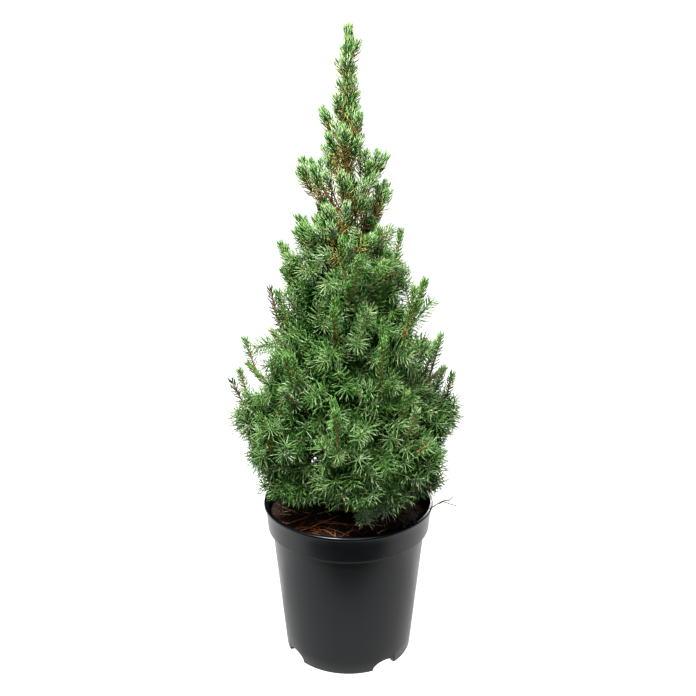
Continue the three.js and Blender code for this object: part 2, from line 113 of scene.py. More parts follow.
# Outline that the tips reach, with heights measured up from the trunk's foot
WIDEST_HEIGHT = 113 * MM
WIDEST_RADIUS = 126 * MM
UNDERSIDE_ROUND = 193 * MM
TOP_RADIUS = 9 * MM
FULLER_AZIMUTH = radians(180)
FULLER_RANGE = 60 * MM
FULLNESS = 0.13

# Dense foliage inside that outline: a lumpy bell, with a tighter round below the widest height
BELL_SHARE = 0.97
BELL_POWER = 1.35
BELL_ROUND = 112 * MM
WAISTS = ((333 * MM, 16 * MM, 0.42), (240 * MM, 15 * MM, 0.36))
BODY_LUMPS = 0.28
LUMPS_AROUND = 2.6
LUMPS_UP = 22

# Lowest foliage, higher at the front, with one clump that hangs there and a slope up past the rim
SIDE_FLOOR = 17 * MM
FRONT_FLOOR = 38 * MM
FLOOR_LUMPS = 5 * MM
FLOOR_RATE = 170
CLUMP_PLACE = np.array([27 * MM, -82 * MM])
CLUMP_RADIUS = 24 * MM
CLUMP_DROP = 32 * MM
RIM_CLEARANCE = 3 * MM
UNDERSIDE_FROM = 96 * MM
UNDERSIDE_SLOPE = 1.5
NEEDLE_HANG = 7 * MM

# Boughs, in mm and degrees: number, height of tips, first azimuth, rise from root to tip, step between roots
TIERS = (
    (7, 60, 276, 15, 0),
    (8, 113, 0, 26, 8),
    (6, 173, -8, 37, 5),
    (6, 233, 16, 45, 5),
    (4, 291, -5, 51, 4),
    (4, 341, 40, 56, 4),
    (4, 388, -10, 60, 3),
    (3, 435, 180, 63, 2),
)
BEND_REACH = 0.55
BEND_LIFT = 0.36
AZIMUTH_JITTER = 6
HEIGHT_JITTER = 7 * MM
REACH_JITTER = 0.05
BOUGH_ROOT_RADIUS = (1.1 * MM, 2.8 * MM)
BOUGH_TIP_RADIUS = 1.0 * MM

# What is cut off each tier's tips, and the share of its reach that its twigs keep
TIP_CUTS = (9 * MM, 3 * MM, 7 * MM, 23 * MM, 20 * MM, 32 * MM, 11 * MM, 11 * MM)
REACH_SHARES = (1, 1, 0.86, 0.78, 0.76, 0.6, 0.86, 0.8)

# Twigs turn on round their stem by the golden angle, and each is shortened until it keeps its place
SPRAY_SCALES = (1, 0.86, 0.72, 0.58, 0.44)
LENGTH_JITTER = 0.18
GOLDEN_ANGLE = radians(137.5)
UPRIGHT_LIMIT = 0.95
TWIG_CURL = 0.26
TWIG_DROOP = -0.12
SHORTEST_TWIG = 9 * MM

UP = np.array([0.0, 0.0, 1.0])
SIDEWAYS = np.array([1.0, 0.0, 0.0])
LENGTH_POINTS = 7

# Streams of numbers, and seeds
SEED = 20
AXIS_SEED_STEP = 1000
TIER_SEED_STEP = 100
MASS_SEED_STEP = 23
LEADER_SEED = 999
TRUNK_SEED = 55
STAND_SEED = 56
HANGING_SEED = 57
ARM_SEED = 58
MASK = 0xFFFFFFFF
STREAM_STEP = 0x6D2B79F5
STREAM_SHIFTS = (15, 7, 14)
STREAM_BITS = 61


def lerp(first, last, share):
    return first + (last - first) * share


def smooth_step(value):
    value = np.clip(value, 0, 1)
    return value * value * (3 - 2 * value)


def unit(vectors):
    return vectors / np.linalg.norm(vectors, axis=-1, keepdims=True)


def polar(radius, azimuth, height):
    return np.array([radius * cos(azimuth), radius * sin(azimuth), height])


def round_angles(count):
    return np.arange(count) * tau / count


def radius_of(point):
    return hypot(point[0], point[1])


def azimuth_of(point):
    return atan2(point[1], point[0])


def seeded_random(seed):
    """The repeatable stream of numbers from 0 to 1 that the solids' boughs grow by."""
    state = seed & MASK
    early, middle, late = STREAM_SHIFTS

    def draw():
        nonlocal state
        state = (state + STREAM_STEP) & MASK
        mixed = ((state ^ (state >> early)) * (state | 1)) & MASK
        stirred = ((mixed ^ (mixed >> middle)) * (mixed | STREAM_BITS)) & MASK
        mixed = ((mixed + stirred) & MASK) ^ mixed
        return ((mixed ^ (mixed >> late)) & MASK) / (MASK + 1)

    return draw


def spread(draw, width):
    return (draw() * 2 - 1) * width


# Growth rule of the solids, and the dense foliage inside their outline
def outline_at(height):
    """Outline of the foliage: a cone above the widest height, rounded in below it."""
    if height > WIDEST_HEIGHT:
        return max(TOP_RADIUS, WIDEST_RADIUS * (TREE_HEIGHT - height) / (TREE_HEIGHT - WIDEST_HEIGHT))
    return WIDEST_RADIUS * sqrt(1 - ((WIDEST_HEIGHT - height) / UNDERSIDE_ROUND) ** 2)


def fullness_at(height, azimuth):
    """How much further the tips reach on the fuller side above the widest height."""
    above = np.clip((height - WIDEST_HEIGHT) / FULLER_RANGE, 0, 1)
    return 1 + FULLNESS * above * cos((azimuth - FULLER_AZIMUTH) / 2) ** 2


def reach_at(height, azimuth):
    return outline_at(height) * fullness_at(height, azimuth)


def bell_at(height):
    """Mean radius of the dense foliage at a height."""
    if height > WIDEST_HEIGHT:
        share = max(0, (TREE_HEIGHT - height) / (TREE_HEIGHT - WIDEST_HEIGHT))
        return BELL_SHARE * WIDEST_RADIUS * share**BELL_POWER
    drop = (WIDEST_HEIGHT - height) / BELL_ROUND
    return BELL_SHARE * WIDEST_RADIUS * sqrt(max(0, 1 - drop * drop))


def waist_at(height):
    """Share of the reach that twigs keep at a height: less where the plant is drawn in."""
    return 1 - sum(depth * exp(-((height - middle) / width) ** 2) for middle, width, depth in WAISTS)


def twig_reach(point):
    return waist_at(point[2]) * reach_at(point[2], azimuth_of(point))


def body_at(point):
    """Radius of the dense, lumpy foliage in the direction of a point, at its height."""
    azimuth = azimuth_of(point)
    place = (LUMPS_AROUND * cos(azimuth), LUMPS_AROUND * sin(azimuth), LUMPS_UP * point[2])
    lump = 1 + BODY_LUMPS * noise.noise(place)
    return bell_at(point[2]) * fullness_at(point[2], azimuth) * waist_at(point[2]) * lump


def foliage_floor(point, drop=0.0):
    """Lowest height of the foliage at a place: higher at the front, but for one clump that hangs there."""
    radius = np.linalg.norm(point[..., :2], axis=-1)
    front = np.clip(-point[..., 1] / radius, 0, 1)
    clump = np.linalg.norm(point[..., :2] - CLUMP_PLACE, axis=-1) / CLUMP_RADIUS
    waves = np.sin(point[..., 0] * FLOOR_RATE) * np.cos(point[..., 1] * FLOOR_RATE)
    lowest = lerp(SIDE_FLOOR, FRONT_FLOOR, front) + FLOOR_LUMPS * waves - drop * np.exp(-clump * clump)
    underside = np.maximum(radius - UNDERSIDE_FROM, 0) * UNDERSIDE_SLOPE
    ground = np.where(radius > COLLAR_FOOT_RADIUS - 2 * POT_WALL, POT_HEIGHT - SOIL_TOP, 0.0)
    return np.maximum(lowest, ground + RIM_CLEARANCE + underside)


def trunk_point(height):
    turn = tau * height / TREE_HEIGHT
    return np.array([TRUNK_SWAY * sin(turn), TRUNK_SWAY * sin(turn / 2), height])


def trunk_radius_at(height):
    taper = lerp(TRUNK_FOOT_RADIUS, TRUNK_TOP_RADIUS, height / TRUNK_HEIGHT)
    return taper + FLARE_RADIUS * np.exp(-height / FLARE_HEIGHT)


def bough_axis(tier, tier_number, index):
    """Bend points of one bough, from the trunk's centre to its tip."""
    count, tip_height, first_azimuth, rise, stagger = tier
    draw = seeded_random(AXIS_SEED_STEP * tier_number + index)
    azimuth = radians(first_azimuth + index * 360 / count + spread(draw, AZIMUTH_JITTER))
    tip_height = tip_height * MM + spread(draw, HEIGHT_JITTER)
    reach = reach_at(tip_height, azimuth) * (1 - draw() * REACH_JITTER)
    step = (stagger if index % 2 == 0 else -stagger) * MM
    root_height = tip_height - reach * tan(radians(rise)) + step
    bend_height = lerp(root_height, tip_height, BEND_LIFT)
    return np.array([
        trunk_point(root_height),
        polar(reach * BEND_REACH, azimuth, bend_height),
        polar(reach, azimuth, tip_height),
    ])


def cross_frame(along, chord=None):
    """Two directions across each given one, alike for all that share a chord."""
    steep = np.abs((along if chord is None else chord)[..., 2:]) > UPRIGHT_LIMIT
    across = unit(np.cross(along, np.where(steep, SIDEWAYS, UP)))
    return across, np.cross(across, along)


def spray_direction(along, roll, angle, lift):
    """Out from the stem at a steady angle, turned on round it, and lifted."""
    across, beside = cross_frame(along)
    out = across * cos(roll) + beside * sin(roll)
    return unit(along * cos(angle) + out * sin(angle) + UP * lift)


def point_on(line, share):
    first, bend, last = (line[..., i, :] for i in range(3))
    rest = 1 - share
    return rest * rest * first + 2 * share * rest * bend + share * share * last


def tangent_on(line, share):
    first = line[..., 1, :] - line[..., 0, :]
    last = line[..., 2, :] - line[..., 1, :]
    return unit((1 - share) * first + share * last)


def line_length(line):
    points = np.array([point_on(line, share) for share in np.linspace(0, 1, LENGTH_POINTS)])
    return np.linalg.norm(np.diff(points, axis=0), axis=1).sum()


def cut_back(line, amount):
    """The same line ended short of its tip."""
    share = 1 - amount / line_length(line)
    return np.array([line[0], lerp(line[0], line[1], share), point_on(line, share)])


# Finer growth, and how the colours of needles are dealt out by shoot
# PAINTED_SHADE is a dark green that paints shade onto needles deep inside the plant, near the base of
# spreading shoots and on some spikes
PAINTED_SHADE, MID, SOFT, BLUE, OLIVE = range(5)
SPREADING_COLOURS = {MID: 0.48, SOFT: 0.46, BLUE: 0.06}
STANDING_COLOURS = {MID: 0.24, SOFT: 0.46, BLUE: 0.3}
SPIKE_COLOURS = {PAINTED_SHADE: 0.15, MID: 0.6, SOFT: 0.25}
# Paler needles for the hanging sprays: painted light against the shade of the foliage above them
HANGING_PAINTED_LIGHT = {SOFT: 0.3, BLUE: 0.7}


@dataclass
class Shoot:
    """A needled stem: stance is how far it is a narrow standing brush, and hang how low its needles go."""

    line: np.ndarray
    order: int
    bare: float
    radius: float
    stance: float = 0.0
    density: float = 1.0
    size: float = 1.0
    hang: float = 0.0
    colours: dict = None

    @property
    def length(self):
        return line_length(self.line)


@dataclass
class Habit:
    """How twigs of one order branch from their stem."""

    spacing: float
    first: float
    last: float
    longest: float
    shortest: float
    bare: float
    radius: float
    angle: float
    lift: float
    curl: float = TWIG_CURL


LOW_TWIGS = Habit(8 * MM, 0.24, 0.93, 1.1, 0.5, 0.24, 0.75 * MM, radians(52), 0.08, TWIG_DROOP)
SIDE_TWIGS = Habit(10.5 * MM, 0.3, 0.9, 0.64, 0.5, 0.12, 0.5 * MM, radians(50), -0.05, TWIG_DROOP)
HIGH_TWIGS = Habit(9 * MM, 0.1, 0.8, 1.4, 0.9, 0.35, 0.7 * MM, radians(36), 0.6)
HIGH_SIDE_TWIGS = Habit(14 * MM, 0.2, 0.75, 0.6, 0.5, 0.15, 0.5 * MM, radians(38), 0.5)
TOP_TWIGS = Habit(27 * MM, 0.3, 0.9, 1.5, 1.0, 0.4, 0.7 * MM, radians(32), 0.7)
STAND_SIDE_TWIGS = Habit(15 * MM, 0.25, 0.7, 0.55, 0.4, 0.1, 0.5 * MM, radians(34), 0.3)
ARM_TWIGS = Habit(21 * MM, 0.4, 0.75, 0.42, 0.34, 0.1, 0.5 * MM, radians(34), 0.3)
TWIG_LENGTH = (25 * MM, 50 * MM)

# Shoots on the upper trunk, with values for the lowest and the topmost, and two arms
STAND_SPACING = 10.5 * MM
STAND_FIRST = 190 * MM
STAND_SIDE_FROM = 50 * MM
STAND_LEAN = (radians(42), radians(27))
STAND_LENGTH = (76 * MM, 34 * MM)
STAND_JITTER = 0.25
STAND_BARE = 0.42
STAND_RADIUS = 0.8 * MM
ARM_LINES = np.array([
    [[0, 0, 304], [-27, -4, 328], [-46, -8, 383]],
    [[0, 0, 300], [26, -6, 318], [39, -8, 350]],
]) * MM

# Leader, and the whorls of short shoots on it
LEADER_NEEDLES = 1.22
LEADER_DENSITY = 1.1
LEADER_NEEDLES_FROM = 290 * MM
TIP_OVERHANG = 9 * MM
WHORLS = 5
WHORL_SHOOTS = 3
WHORL_LAST = 0.66
WHORL_LENGTH = (18 * MM, 14 * MM)
WHORL_ANGLE = radians(25)
WHORL_RADIUS = 0.6 * MM

# Kinds of bough by share of the widest reach, and the free ends of those that stand
SPIKE_BELOW = 0.9
LONG_FREE_BELOW = 0.75
STANDING_BELOW = 0.62
OPEN_BELOW = 0.5
BOUGH_BARE = (0.34, 0.36)
FREE_END = (20 * MM, 50 * MM)
SHORT_FREE_END = (4 * MM, 26 * MM)
SHOULDER_LUMPS = 26 * MM
SHOULDER_RATE = 45
NEEDLE_OVERHANG = 4 * MM

# Shares of the plant's height over which rising shoots turn into standing brushes
STANDING_FROM = 0.42
STANDING_RANGE = 0.22
STANDING_RISE = 1.6

# Slender spikes on the outer half of a bough
SPIKES_FROM = 90 * MM
SPIKES_A_BOUGH = 2
SPIKE_PLACE = (0.5, 0.9)
SPIKE_LEAN = (radians(14), radians(36))
SPIKE_TURN = 0.5
SPIKE_LENGTH = (44 * MM, 70 * MM)
SPIKE_REACH = 1.05
SPIKE_BARE = 0.15
SPIKE_STANCE = 0.78
SPIKE_RADIUS = 1.0 * MM
SPIKE_NEEDLES = 0.76

# Twigs on the trunk itself, which fill the inside
INNER_SPACING = 6 * MM
INNER_FIRST = 24 * MM
INNER_LAST = 285 * MM
INNER_RISE = (radians(12), radians(72))
INNER_REACH = (0.6, 1.05)
INNER_LENGTH = (20 * MM, 105 * MM)
INNER_BARE = 0.3
INNER_RADIUS = 0.8 * MM

# Two sprays that hang over the soil at the front
HANGING_LINES = np.array([
    [[8, -16, 50], [33, -58, 48], [39, -87, 37]],
    [[8, -24, 46], [15, -64, 36], [18, -91, 26]],
]) * MM
HANGING_BARE = 0.6
HANGING_TWIGS = Habit(27 * MM, 0.6, 0.8, 0.2, 0.16, 0, 0.5 * MM, radians(60), 0, TWIG_DROOP)

# Where the sky shows through the low foliage: ends of the line of sight, and its width at each
SKY_START = np.array([-31 * MM, -125 * MM, 112 * MM])
SKY_END = np.array([-42 * MM, 140 * MM, -0.6 * MM])
SKY_WIDTH = (8 * MM, 18 * MM)
SKY_EDGE = (0.12, 1.15)


def sky_distance(points):
    """Distance of points from the open line of sight, as a share of its width there."""
    along = SKY_END - SKY_START
    share = np.clip((points - SKY_START) @ along / (along @ along), 0, 1)
    foot = SKY_START + share[..., None] * along
    return np.linalg.norm(points - foot, axis=-1) / lerp(*SKY_WIDTH, share)


def keeps_body(point):
    """Inside the dense body, clear of the soil and the rim, and out of the open line of sight."""
    inside = radius_of(point) < min(body_at(point), twig_reach(point)) - NEEDLE_OVERHANG
    return inside and point[2] > foliage_floor(point) + NEEDLE_HANG and sky_distance(point) > 1


def shoulder_rule(axis, free_end, reach_share):
    """The places that a standing bough's twigs keep: within a share of its reach, and below its free end."""
    top = cut_back(axis, free_end)[2][2]
    reach = radius_of(axis[2]) * reach_share

    def keeps(point):
        limit = min(reach, twig_reach(point))
        uneven = top + SHOULDER_LUMPS * noise.noise(point * SHOULDER_RATE)
        return radius_of(point) < limit - NEEDLE_OVERHANG and point[2] < uneven

    return keeps


def keeps_reach(point):
    return radius_of(point) < twig_reach(point) and point[2] < TREE_HEIGHT - TIP_OVERHANG


def keeps_spike(point):
    """Little further out than the boughs reach."""
    return radius_of(point) < SPIKE_REACH * reach_at(point[2], azimuth_of(point))


def keeps_hanging(point):
    """Above the floor of the clump that hangs at the front."""
    return point[2] > foliage_floor(point, CLUMP_DROP)


def twig_line(base, direction, length, curl=TWIG_CURL):
    bend = base + direction * length / 2
    tip = base + direction * length + UP * length * curl
    return np.array([base, bend, tip])


def longest_kept(base, direction, length, keeps, curl=TWIG_CURL):
    """A twig shortened until its tip keeps its place, or nothing."""
    lines = [twig_line(base, direction, length * scale, curl) for scale in SPRAY_SCALES]
    return next((line for line in lines if keeps(line[2])), None)


def branch(stem, habit, longest, keeps, draw):
    """Twigs of one stem, each shortened until its tip keeps its place, or left out."""
    count = max(1, round(stem.length / habit.spacing))
    roll = draw() * tau
    twigs = []
    for i in range(count):
        share = (i + 0.5) / count
        place = lerp(habit.first, habit.last, share)
        along = tangent_on(stem.line, place)
        direction = spray_direction(along, roll + GOLDEN_ANGLE * i, habit.angle, habit.lift)
        length = longest * lerp(habit.longest, habit.shortest, share) * (1 + spread(draw, LENGTH_JITTER))
        kept = longest_kept(point_on(stem.line, place), direction, length, keeps, habit.curl)
        if kept is not None and np.linalg.norm(kept[2] - kept[0]) > SHORTEST_TWIG:
            twigs.append(Shoot(kept, stem.order + 1, habit.bare, habit.radius))
    return twigs


def with_side_twigs(twigs, habit, keeps, draw):
    shoots = []
    for twig in twigs:
        shoots.extend([twig, *branch(twig, habit, twig.length, keeps, draw)])
    return shoots


def grow_bough(axis, cut, reach_share, share, seed):
    """A bough's own needled end, its twigs and their side twigs."""
    draw = seeded_random(seed)
    stem = Shoot(cut_back(axis, cut), 0, lerp(*BOUGH_BARE, share), BOUGH_TIP_RADIUS)
    longest = lerp(*TWIG_LENGTH, share)
    keeps = keeps_body
    if share < SPIKE_BELOW:
        stem.stance = 1.0
        free_end = FREE_END if OPEN_BELOW < share < LONG_FREE_BELOW else SHORT_FREE_END
        keeps = shoulder_rule(axis, lerp(*free_end, draw()), reach_share)
    if share < OPEN_BELOW:
        return [stem, *branch(stem, TOP_TWIGS, longest, keeps, draw)]
    if share < SPIKE_BELOW:
        stem.size, stem.colours = SPIKE_NEEDLES, SPIKE_COLOURS
    habit, side_habit = (LOW_TWIGS, SIDE_TWIGS) if share > STANDING_BELOW else (HIGH_TWIGS, HIGH_SIDE_TWIGS)
    twigs = with_side_twigs(branch(stem, habit, longest, keeps, draw), side_habit, keeps, draw)
    return [stem, *twigs, *grow_spikes(axis, draw)]


def grow_spikes(axis, draw):
    """Slender shoots that stand up from the outer half of a bough."""
    if axis[2][2] < SPIKES_FROM:
        return []
    spikes = []
    for _ in range(SPIKES_A_BOUGH):
        base = point_on(axis, lerp(*SPIKE_PLACE, draw()))
        lean = lerp(*SPIKE_LEAN, draw())
        azimuth = azimuth_of(base) + spread(draw, SPIKE_TURN)
        direction = polar(sin(lean), azimuth, cos(lean))
        kept = longest_kept(base, direction, lerp(*SPIKE_LENGTH, draw()), keeps_spike)
        if kept is not None:
            spike = Shoot(kept, 1, SPIKE_BARE, SPIKE_RADIUS, SPIKE_STANCE)
            spike.size, spike.colours = SPIKE_NEEDLES, SPIKE_COLOURS
            spikes.append(spike)
    return spikes


def grow_leader():
    """The top shoot, with short shoots that stand close to it."""
    draw = seeded_random(LEADER_SEED)
    foot = trunk_point(TRUNK_HEIGHT)
    top = np.array([0, 0, TREE_HEIGHT - TIP_OVERHANG])
    shoots = [Shoot(np.array([trunk_point(LEADER_NEEDLES_FROM), foot, top]), 0, 0, BOUGH_TIP_RADIUS)]
    for whorl in range(WHORLS):
        share = whorl / (WHORLS - 1)
        base = lerp(foot, top, share * WHORL_LAST)
        for number in range(WHORL_SHOOTS):
            roll = whorl * GOLDEN_ANGLE + (number + spread(draw, LENGTH_JITTER)) * tau / WHORL_SHOOTS
            direction = spray_direction(unit(top - foot), roll, WHORL_ANGLE, 0)
            length = lerp(*WHORL_LENGTH, share) * (1 + spread(draw, STAND_JITTER))
            shoots.append(Shoot(twig_line(base, direction, length), 1, 0, WHORL_RADIUS))
    for shoot in shoots:
        shoot.density, shoot.size = LEADER_DENSITY, LEADER_NEEDLES
    return shoots


def grow_standing():
    """Shoots that stand out from the upper trunk, steeper and shorter further up."""
    draw = seeded_random(STAND_SEED)
    count = round((TRUNK_HEIGHT - STAND_FIRST) / STAND_SPACING)
    shoots = []
    for line in ARM_LINES:
        arm = Shoot(line, 1, STAND_BARE, STAND_RADIUS, 1.0)
        shoots.extend([arm, *branch(arm, ARM_TWIGS, arm.length, keeps_reach, seeded_random(ARM_SEED))])
    for i in range(count):
        share = (i + draw()) / count
        lean = lerp(*STAND_LEAN, share)
        direction = polar(sin(lean), GOLDEN_ANGLE * i, cos(lean))
        length = lerp(*STAND_LENGTH, share) * (1 + spread(draw, STAND_JITTER))
        line = twig_line(trunk_point(lerp(STAND_FIRST, TRUNK_HEIGHT, share)), direction, length)
        shoot = Shoot(line, 1, STAND_BARE, STAND_RADIUS, 1.0)
        shoots.append(shoot)
        if length > STAND_SIDE_FROM:
            shoots.extend(branch(shoot, STAND_SIDE_TWIGS, length, keeps_reach, draw))
    return shoots


def grow_hanging():
    """Two sprays that hang over the soil at the front, with pale needles of painted light."""
    stems = [Shoot(line, 1, HANGING_BARE, INNER_RADIUS) for line in HANGING_LINES]
    shoots = with_side_twigs(stems, HANGING_TWIGS, keeps_hanging, seeded_random(HANGING_SEED))
    for shoot in shoots:
        # Pale needles as painted light, with no painted shade
        shoot.hang, shoot.colours = CLUMP_DROP, HANGING_PAINTED_LIGHT
    return shoots


def grow_inside():
    """Twigs all along the trunk, steeper further up, which fill the inside."""
    draw = seeded_random(TRUNK_SEED)
    count = round((INNER_LAST - INNER_FIRST) / INNER_SPACING)
    twigs = []
    for i in range(count):
        height = lerp(INNER_FIRST, INNER_LAST, i / count)
        rise = lerp(*INNER_RISE, height / TRUNK_HEIGHT)
        length = np.clip(bell_at(height) * lerp(*INNER_REACH, draw()), *INNER_LENGTH)
        line = twig_line(trunk_point(height), polar(cos(rise), GOLDEN_ANGLE * i, sin(rise)), length)
        if sky_distance(line[2]) > 1:
            twigs.append(Shoot(line, 1, INNER_BARE, INNER_RADIUS))
    return with_side_twigs(twigs, SIDE_TWIGS, keeps_body, draw)


def stance_of(shoot):
    """How far a shoot is a narrow standing brush: high on the plant, and where it rises."""
    rise = unit(shoot.line[2] - shoot.line[0])[2]
    height = shoot.line[2][2] / TREE_HEIGHT
    high = smooth_step((height - STANDING_FROM) / STANDING_RANGE)
    return float(high * np.clip(rise * STANDING_RISE, 0, 1))


def grow_tree():
    """All shoots of the plant, with the axes of its boughs and the share of the widest reach of each."""
    axes, shares = [], []
    shoots = grow_inside()
    for tier_number, (tier, cut, reach_share) in enumerate(zip(TIERS, TIP_CUTS, REACH_SHARES), start=1):
        count, tip_height = tier[:2]
        share = outline_at(tip_height * MM) / WIDEST_RADIUS
        for index in range(count):
            axis = bough_axis(tier, tier_number, index)
            axes.append(cut_back(axis, cut))
            shares.append(share)
            seed = TIER_SEED_STEP * tier_number + MASS_SEED_STEP * (index + 1)
            shoots.extend(grow_bough(axis, cut, reach_share, share, seed))
    shoots.extend([*grow_hanging(), *grow_standing(), *grow_leader()])
    for shoot in shoots:
        shoot.stance = max(shoot.stance, stance_of(shoot))
    return np.stack(axes), np.array(shares), shoots


# Meshes from arrays
def add_object(name, data):
    added = bpy.data.objects.new(name, data)
    scene.collection.objects.link(added)
    return added


def add_piece(name, shape, finish, replaced=()):
    """One joined mesh from arrays of vertices and of triangles, riding on the plant."""
    vertices, faces = shape
    mesh = bpy.data.meshes.new(name)
    mesh.vertices.add(len(vertices))
    mesh.vertices.foreach_set("co", vertices.astype(np.float32).ravel())
    mesh.loops.add(faces.size)
    mesh.loops.foreach_set("vertex_index", faces.astype(np.int32).ravel())
    mesh.polygons.add(len(faces))
    mesh.polygons.foreach_set("loop_start", np.arange(0, faces.size, faces.shape[1], dtype=np.int32))
    mesh.update(calc_edges=True)
    mesh.shade_smooth()
    mesh.materials.append(finished(finish))
    piece = add_object(name, mesh)
    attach(piece, "root")
    if replaced:
        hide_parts(*replaced)
    return piece


def grid_faces(rows, columns):
    """Triangles of a grid of vertices that closes on itself across its columns."""
    row, column = np.meshgrid(np.arange(rows - 1), np.arange(columns), indexing="ij")
    a = row * columns + column
    b = row * columns + (column + 1) % columns
    c = a + columns
    d = b + columns
    return np.concatenate([np.stack([a, b, d], -1), np.stack([a, d, c], -1)]).reshape(-1, 3)


def repeat_faces(pattern, vertex_count, copies):
    """A pattern of faces for each of many copies of a small mesh."""
    starts = np.arange(copies) * vertex_count
    return (pattern[None] + starts[:, None, None]).reshape(-1, pattern.shape[1])


def close_tubes(rings, ends):
    """Vertices and triangles of capped tubes, from their rings and the two end points of each."""
    tubes, steps, sides = rings.shape[:3]
    count = steps * sides
    last = count - sides
    ring = np.arange(sides)
    root_cap = np.stack([np.full(sides, count), (ring + 1) % sides, ring], -1)
    tip_cap = np.stack([np.full(sides, count + 1), last + ring, last + (ring + 1) % sides], -1)
    pattern = np.concatenate([grid_faces(steps, sides), root_cap, tip_cap])
    vertices = np.concatenate([rings.reshape(tubes, -1, 3), ends], 1)
    return vertices.reshape(-1, 3), repeat_faces(pattern, count + 2, tubes)


def tube_rings(points, radii, sides):
    """Rings of tubes along many rows of points."""
    chord = unit(points[:, -1:] - points[:, :1])
    across, beside = cross_frame(unit(np.gradient(points, axis=1)), chord)
    angles = round_angles(sides)[:, None]
    around = across[..., None, :] * np.cos(angles) - beside[..., None, :] * np.sin(angles)
    return points[..., None, :] + around * radii[..., None, None]


def tubes_along(points, radii, sides):
    return close_tubes(tube_rings(points, radii, sides), points[:, [0, -1]])


def sampled(lines, steps):
    """Points at even shares along many bend lines."""
    return np.stack([point_on(lines, share) for share in np.linspace(0, 1, steps + 1)], 1)


# Needles: a value for a spreading shoot and one for a standing shoot
NEEDLE_LENGTH = (14 * MM, 11.5 * MM)
NEEDLE_HALF_WIDTH = (0.48 * MM, 0.6 * MM)
NEEDLE_DENSITY = (2.15 / MM, 1.5 / MM)
NEEDLE_FEWEST = 14
NEEDLES_A_PIECE = 22000
NEEDLE_RING = 0.58
NEEDLE_BOW = (0.21, 0.13)
NEEDLE_ROOT_WIDTH = 0.75
NEEDLE_LENGTH_JITTER = 0.09
LEAN_JITTER = radians(5)
LEAN_ROOT = (radians(80), radians(36))
LEAN_TIP = (radians(42), radians(18))
TIP_TUFT = 0.55
TIP_CROWDING = (0.85, 0.43)
APEX_FROM = 0.9
APEX_LENGTH = 0.92
TOP_MARGIN = 4 * MM
NEEDLE_SIDES = 3
NEEDLE_VERTICES = 2 * NEEDLE_SIDES + 1
NEEDLE_FACES = np.array([
    [0, 1, 4], [0, 4, 3], [1, 2, 5], [1, 5, 4], [2, 0, 3], [2, 3, 5], [3, 4, 6], [4, 5, 6], [5, 3, 6],
])


def values_of(shoots, name):
    return np.array([getattr(shoot, name) for shoot in shoots])


def needle_arrays(shoots, rng):
    """Vertices of all needles, the shoot that each grows on and the share of the way along it."""
    bare = values_of(shoots, "bare")
    stances = values_of(shoots, "stance")
    density = lerp(*NEEDLE_DENSITY, stances) * values_of(shoots, "density")
    counts = np.maximum(NEEDLE_FEWEST, (density * values_of(shoots, "length") * (1 - bare)).astype(int))
    owner = np.repeat(np.arange(len(shoots)), counts)
    rank = np.arange(counts.sum()) - np.repeat(np.cumsum(counts) - counts, counts)
    stance = stances[owner]
    even = (rank + rng.random(len(rank))) / counts[owner]
    grown = even ** lerp(*TIP_CROWDING, stance)
    share = lerp(bare[owner], 1, grown)
    line = values_of(shoots, "line")[owner]
    root = point_on(line, share[:, None])
    along = tangent_on(line, share[:, None])
    across, beside = cross_frame(along)
    roll = (rank * GOLDEN_ANGLE + rng.uniform(0, tau, len(shoots))[owner])[:, None]
    out = across * np.cos(roll) + beside * np.sin(roll)
    tuft = smooth_step((grown - TIP_TUFT) / (1 - TIP_TUFT))
    lean = lerp(lerp(*LEAN_ROOT, stance), lerp(*LEAN_TIP, stance), tuft)
    lean = (lean + rng.normal(0, LEAN_JITTER, len(rank)))[:, None]
    direction = unit(along * np.cos(lean) + out * np.sin(lean))
    jitter = 1 + rng.uniform(-1, 1, len(rank)) * NEEDLE_LENGTH_JITTER
    apex = lerp(1, APEX_LENGTH, smooth_step((grown - APEX_FROM) / (1 - APEX_FROM)))
    size = values_of(shoots, "size")[owner]
    length = (lerp(*NEEDLE_LENGTH, stance) * jitter * apex * size)[:, None]
    tip = root + direction * length
    bow = lerp(*NEEDLE_BOW, stance)[:, None]
    middle = root + direction * length * NEEDLE_RING + out * length * bow
    side, face = cross_frame(direction)
    turns = rng.uniform(0, tau, (len(rank), 1))
    rings = []
    half_width = lerp(*NEEDLE_HALF_WIDTH, stance)[:, None]
    for centre, width in ((root, half_width * NEEDLE_ROOT_WIDTH), (middle, half_width)):
        for corner in range(NEEDLE_SIDES):
            turn = turns + corner * tau / NEEDLE_SIDES
            rings.append(centre + (side * np.cos(turn) - face * np.sin(turn)) * width)
    vertices = np.stack([*rings, tip], 1)
    above = tip[:, 2] > foliage_floor(tip, values_of(shoots, "hang")[owner])
    nearest = np.min([sky_distance(place) for place in (root, middle, tip)], 0)
    in_view = nearest > rng.uniform(*SKY_EDGE, len(tip))
    kept = above & in_view & (tip[:, 2] < TREE_HEIGHT + TOP_MARGIN)
    return vertices[kept], owner[kept], grown[kept]


